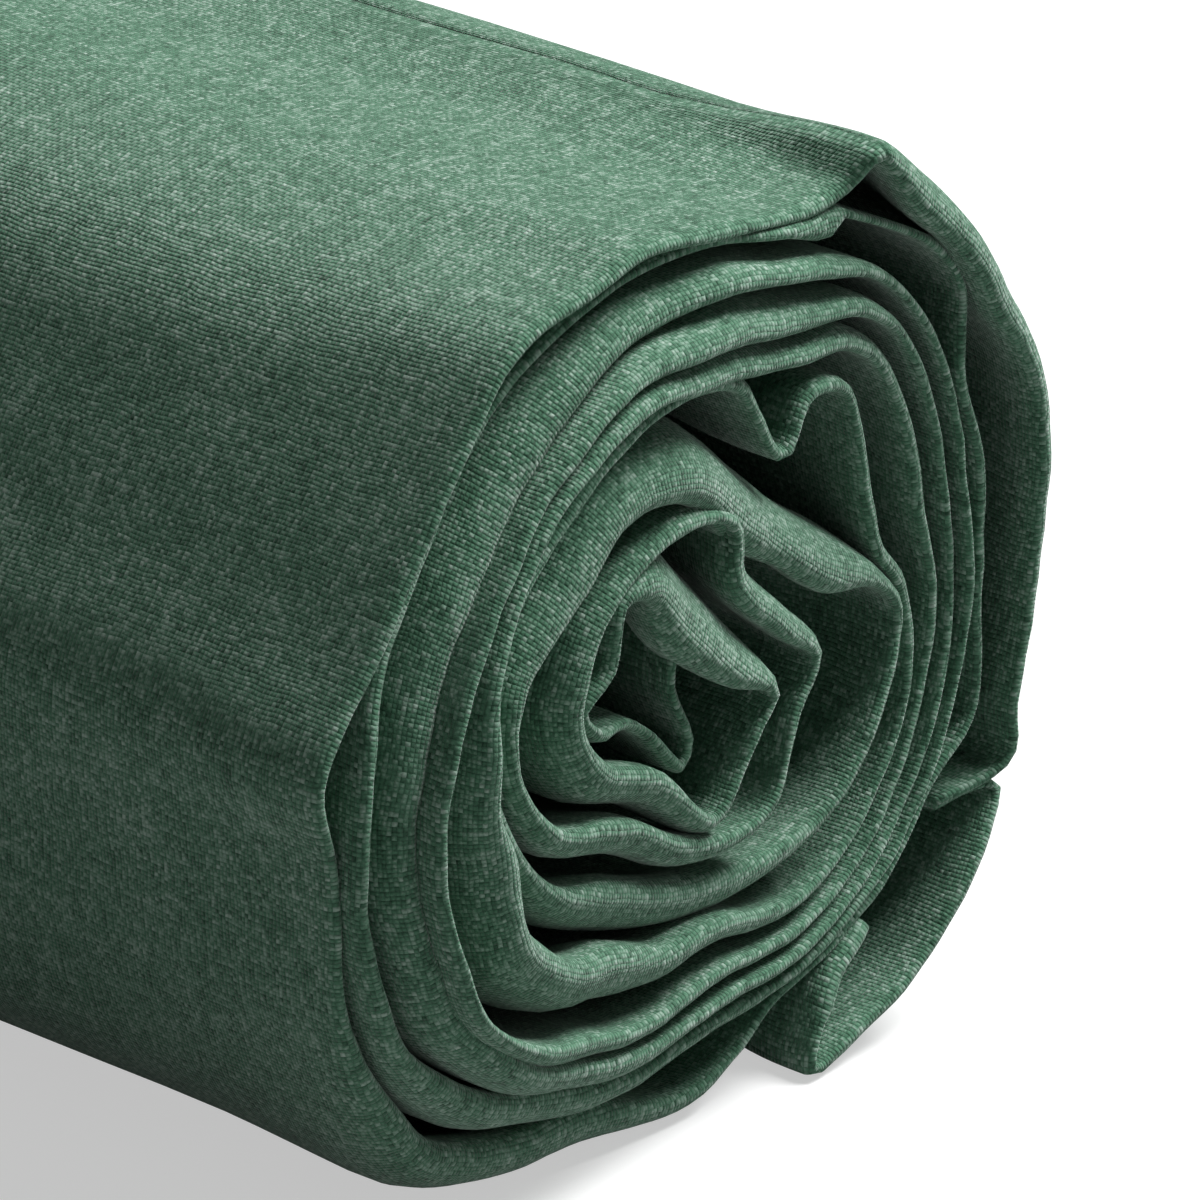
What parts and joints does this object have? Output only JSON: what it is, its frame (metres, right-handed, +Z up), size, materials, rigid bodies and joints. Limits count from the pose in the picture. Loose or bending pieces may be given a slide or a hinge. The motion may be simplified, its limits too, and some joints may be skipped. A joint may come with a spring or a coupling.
{
  "type": "rolled cloth",
  "caption": "Loosely rolled plain-woven cloth, folded in two and lying on its side, with telescoped turns at its ends and a loose outer flap that lifts open.",
  "frame": {"origin": "on the surface it lies on, below the middle of the roll's bounding box", "axes": "+Y along the roll to its far, open-edged end; +X to the right seen from the near, folded end; +Z up"},
  "size_m": [0.0838, 0.2714, 0.0737],
  "materials": {
    "cloth": "matte plain weave, muted dark green"
  },
  "bodies": {
    "roll": {"wrap_1": "cloth", "wrap_2": "cloth", "wrap_3": "cloth", "wrap_4": "cloth", "wrap_5": "cloth", "core_fold_1": "cloth", "core_fold_2": "cloth", "core_centre": "cloth"},
    "flap": {"flap_side": "cloth", "flap_pleat": "cloth", "flap_end": "cloth"}
  },
  "joints": [
    {"name": "flap_lift", "type": "hinge", "parent": "roll", "child": "flap", "pos_m": [0.02251, 0, 0.07373], "axis": [0, -1, 0], "range_deg": [0, 90]}
  ]
}
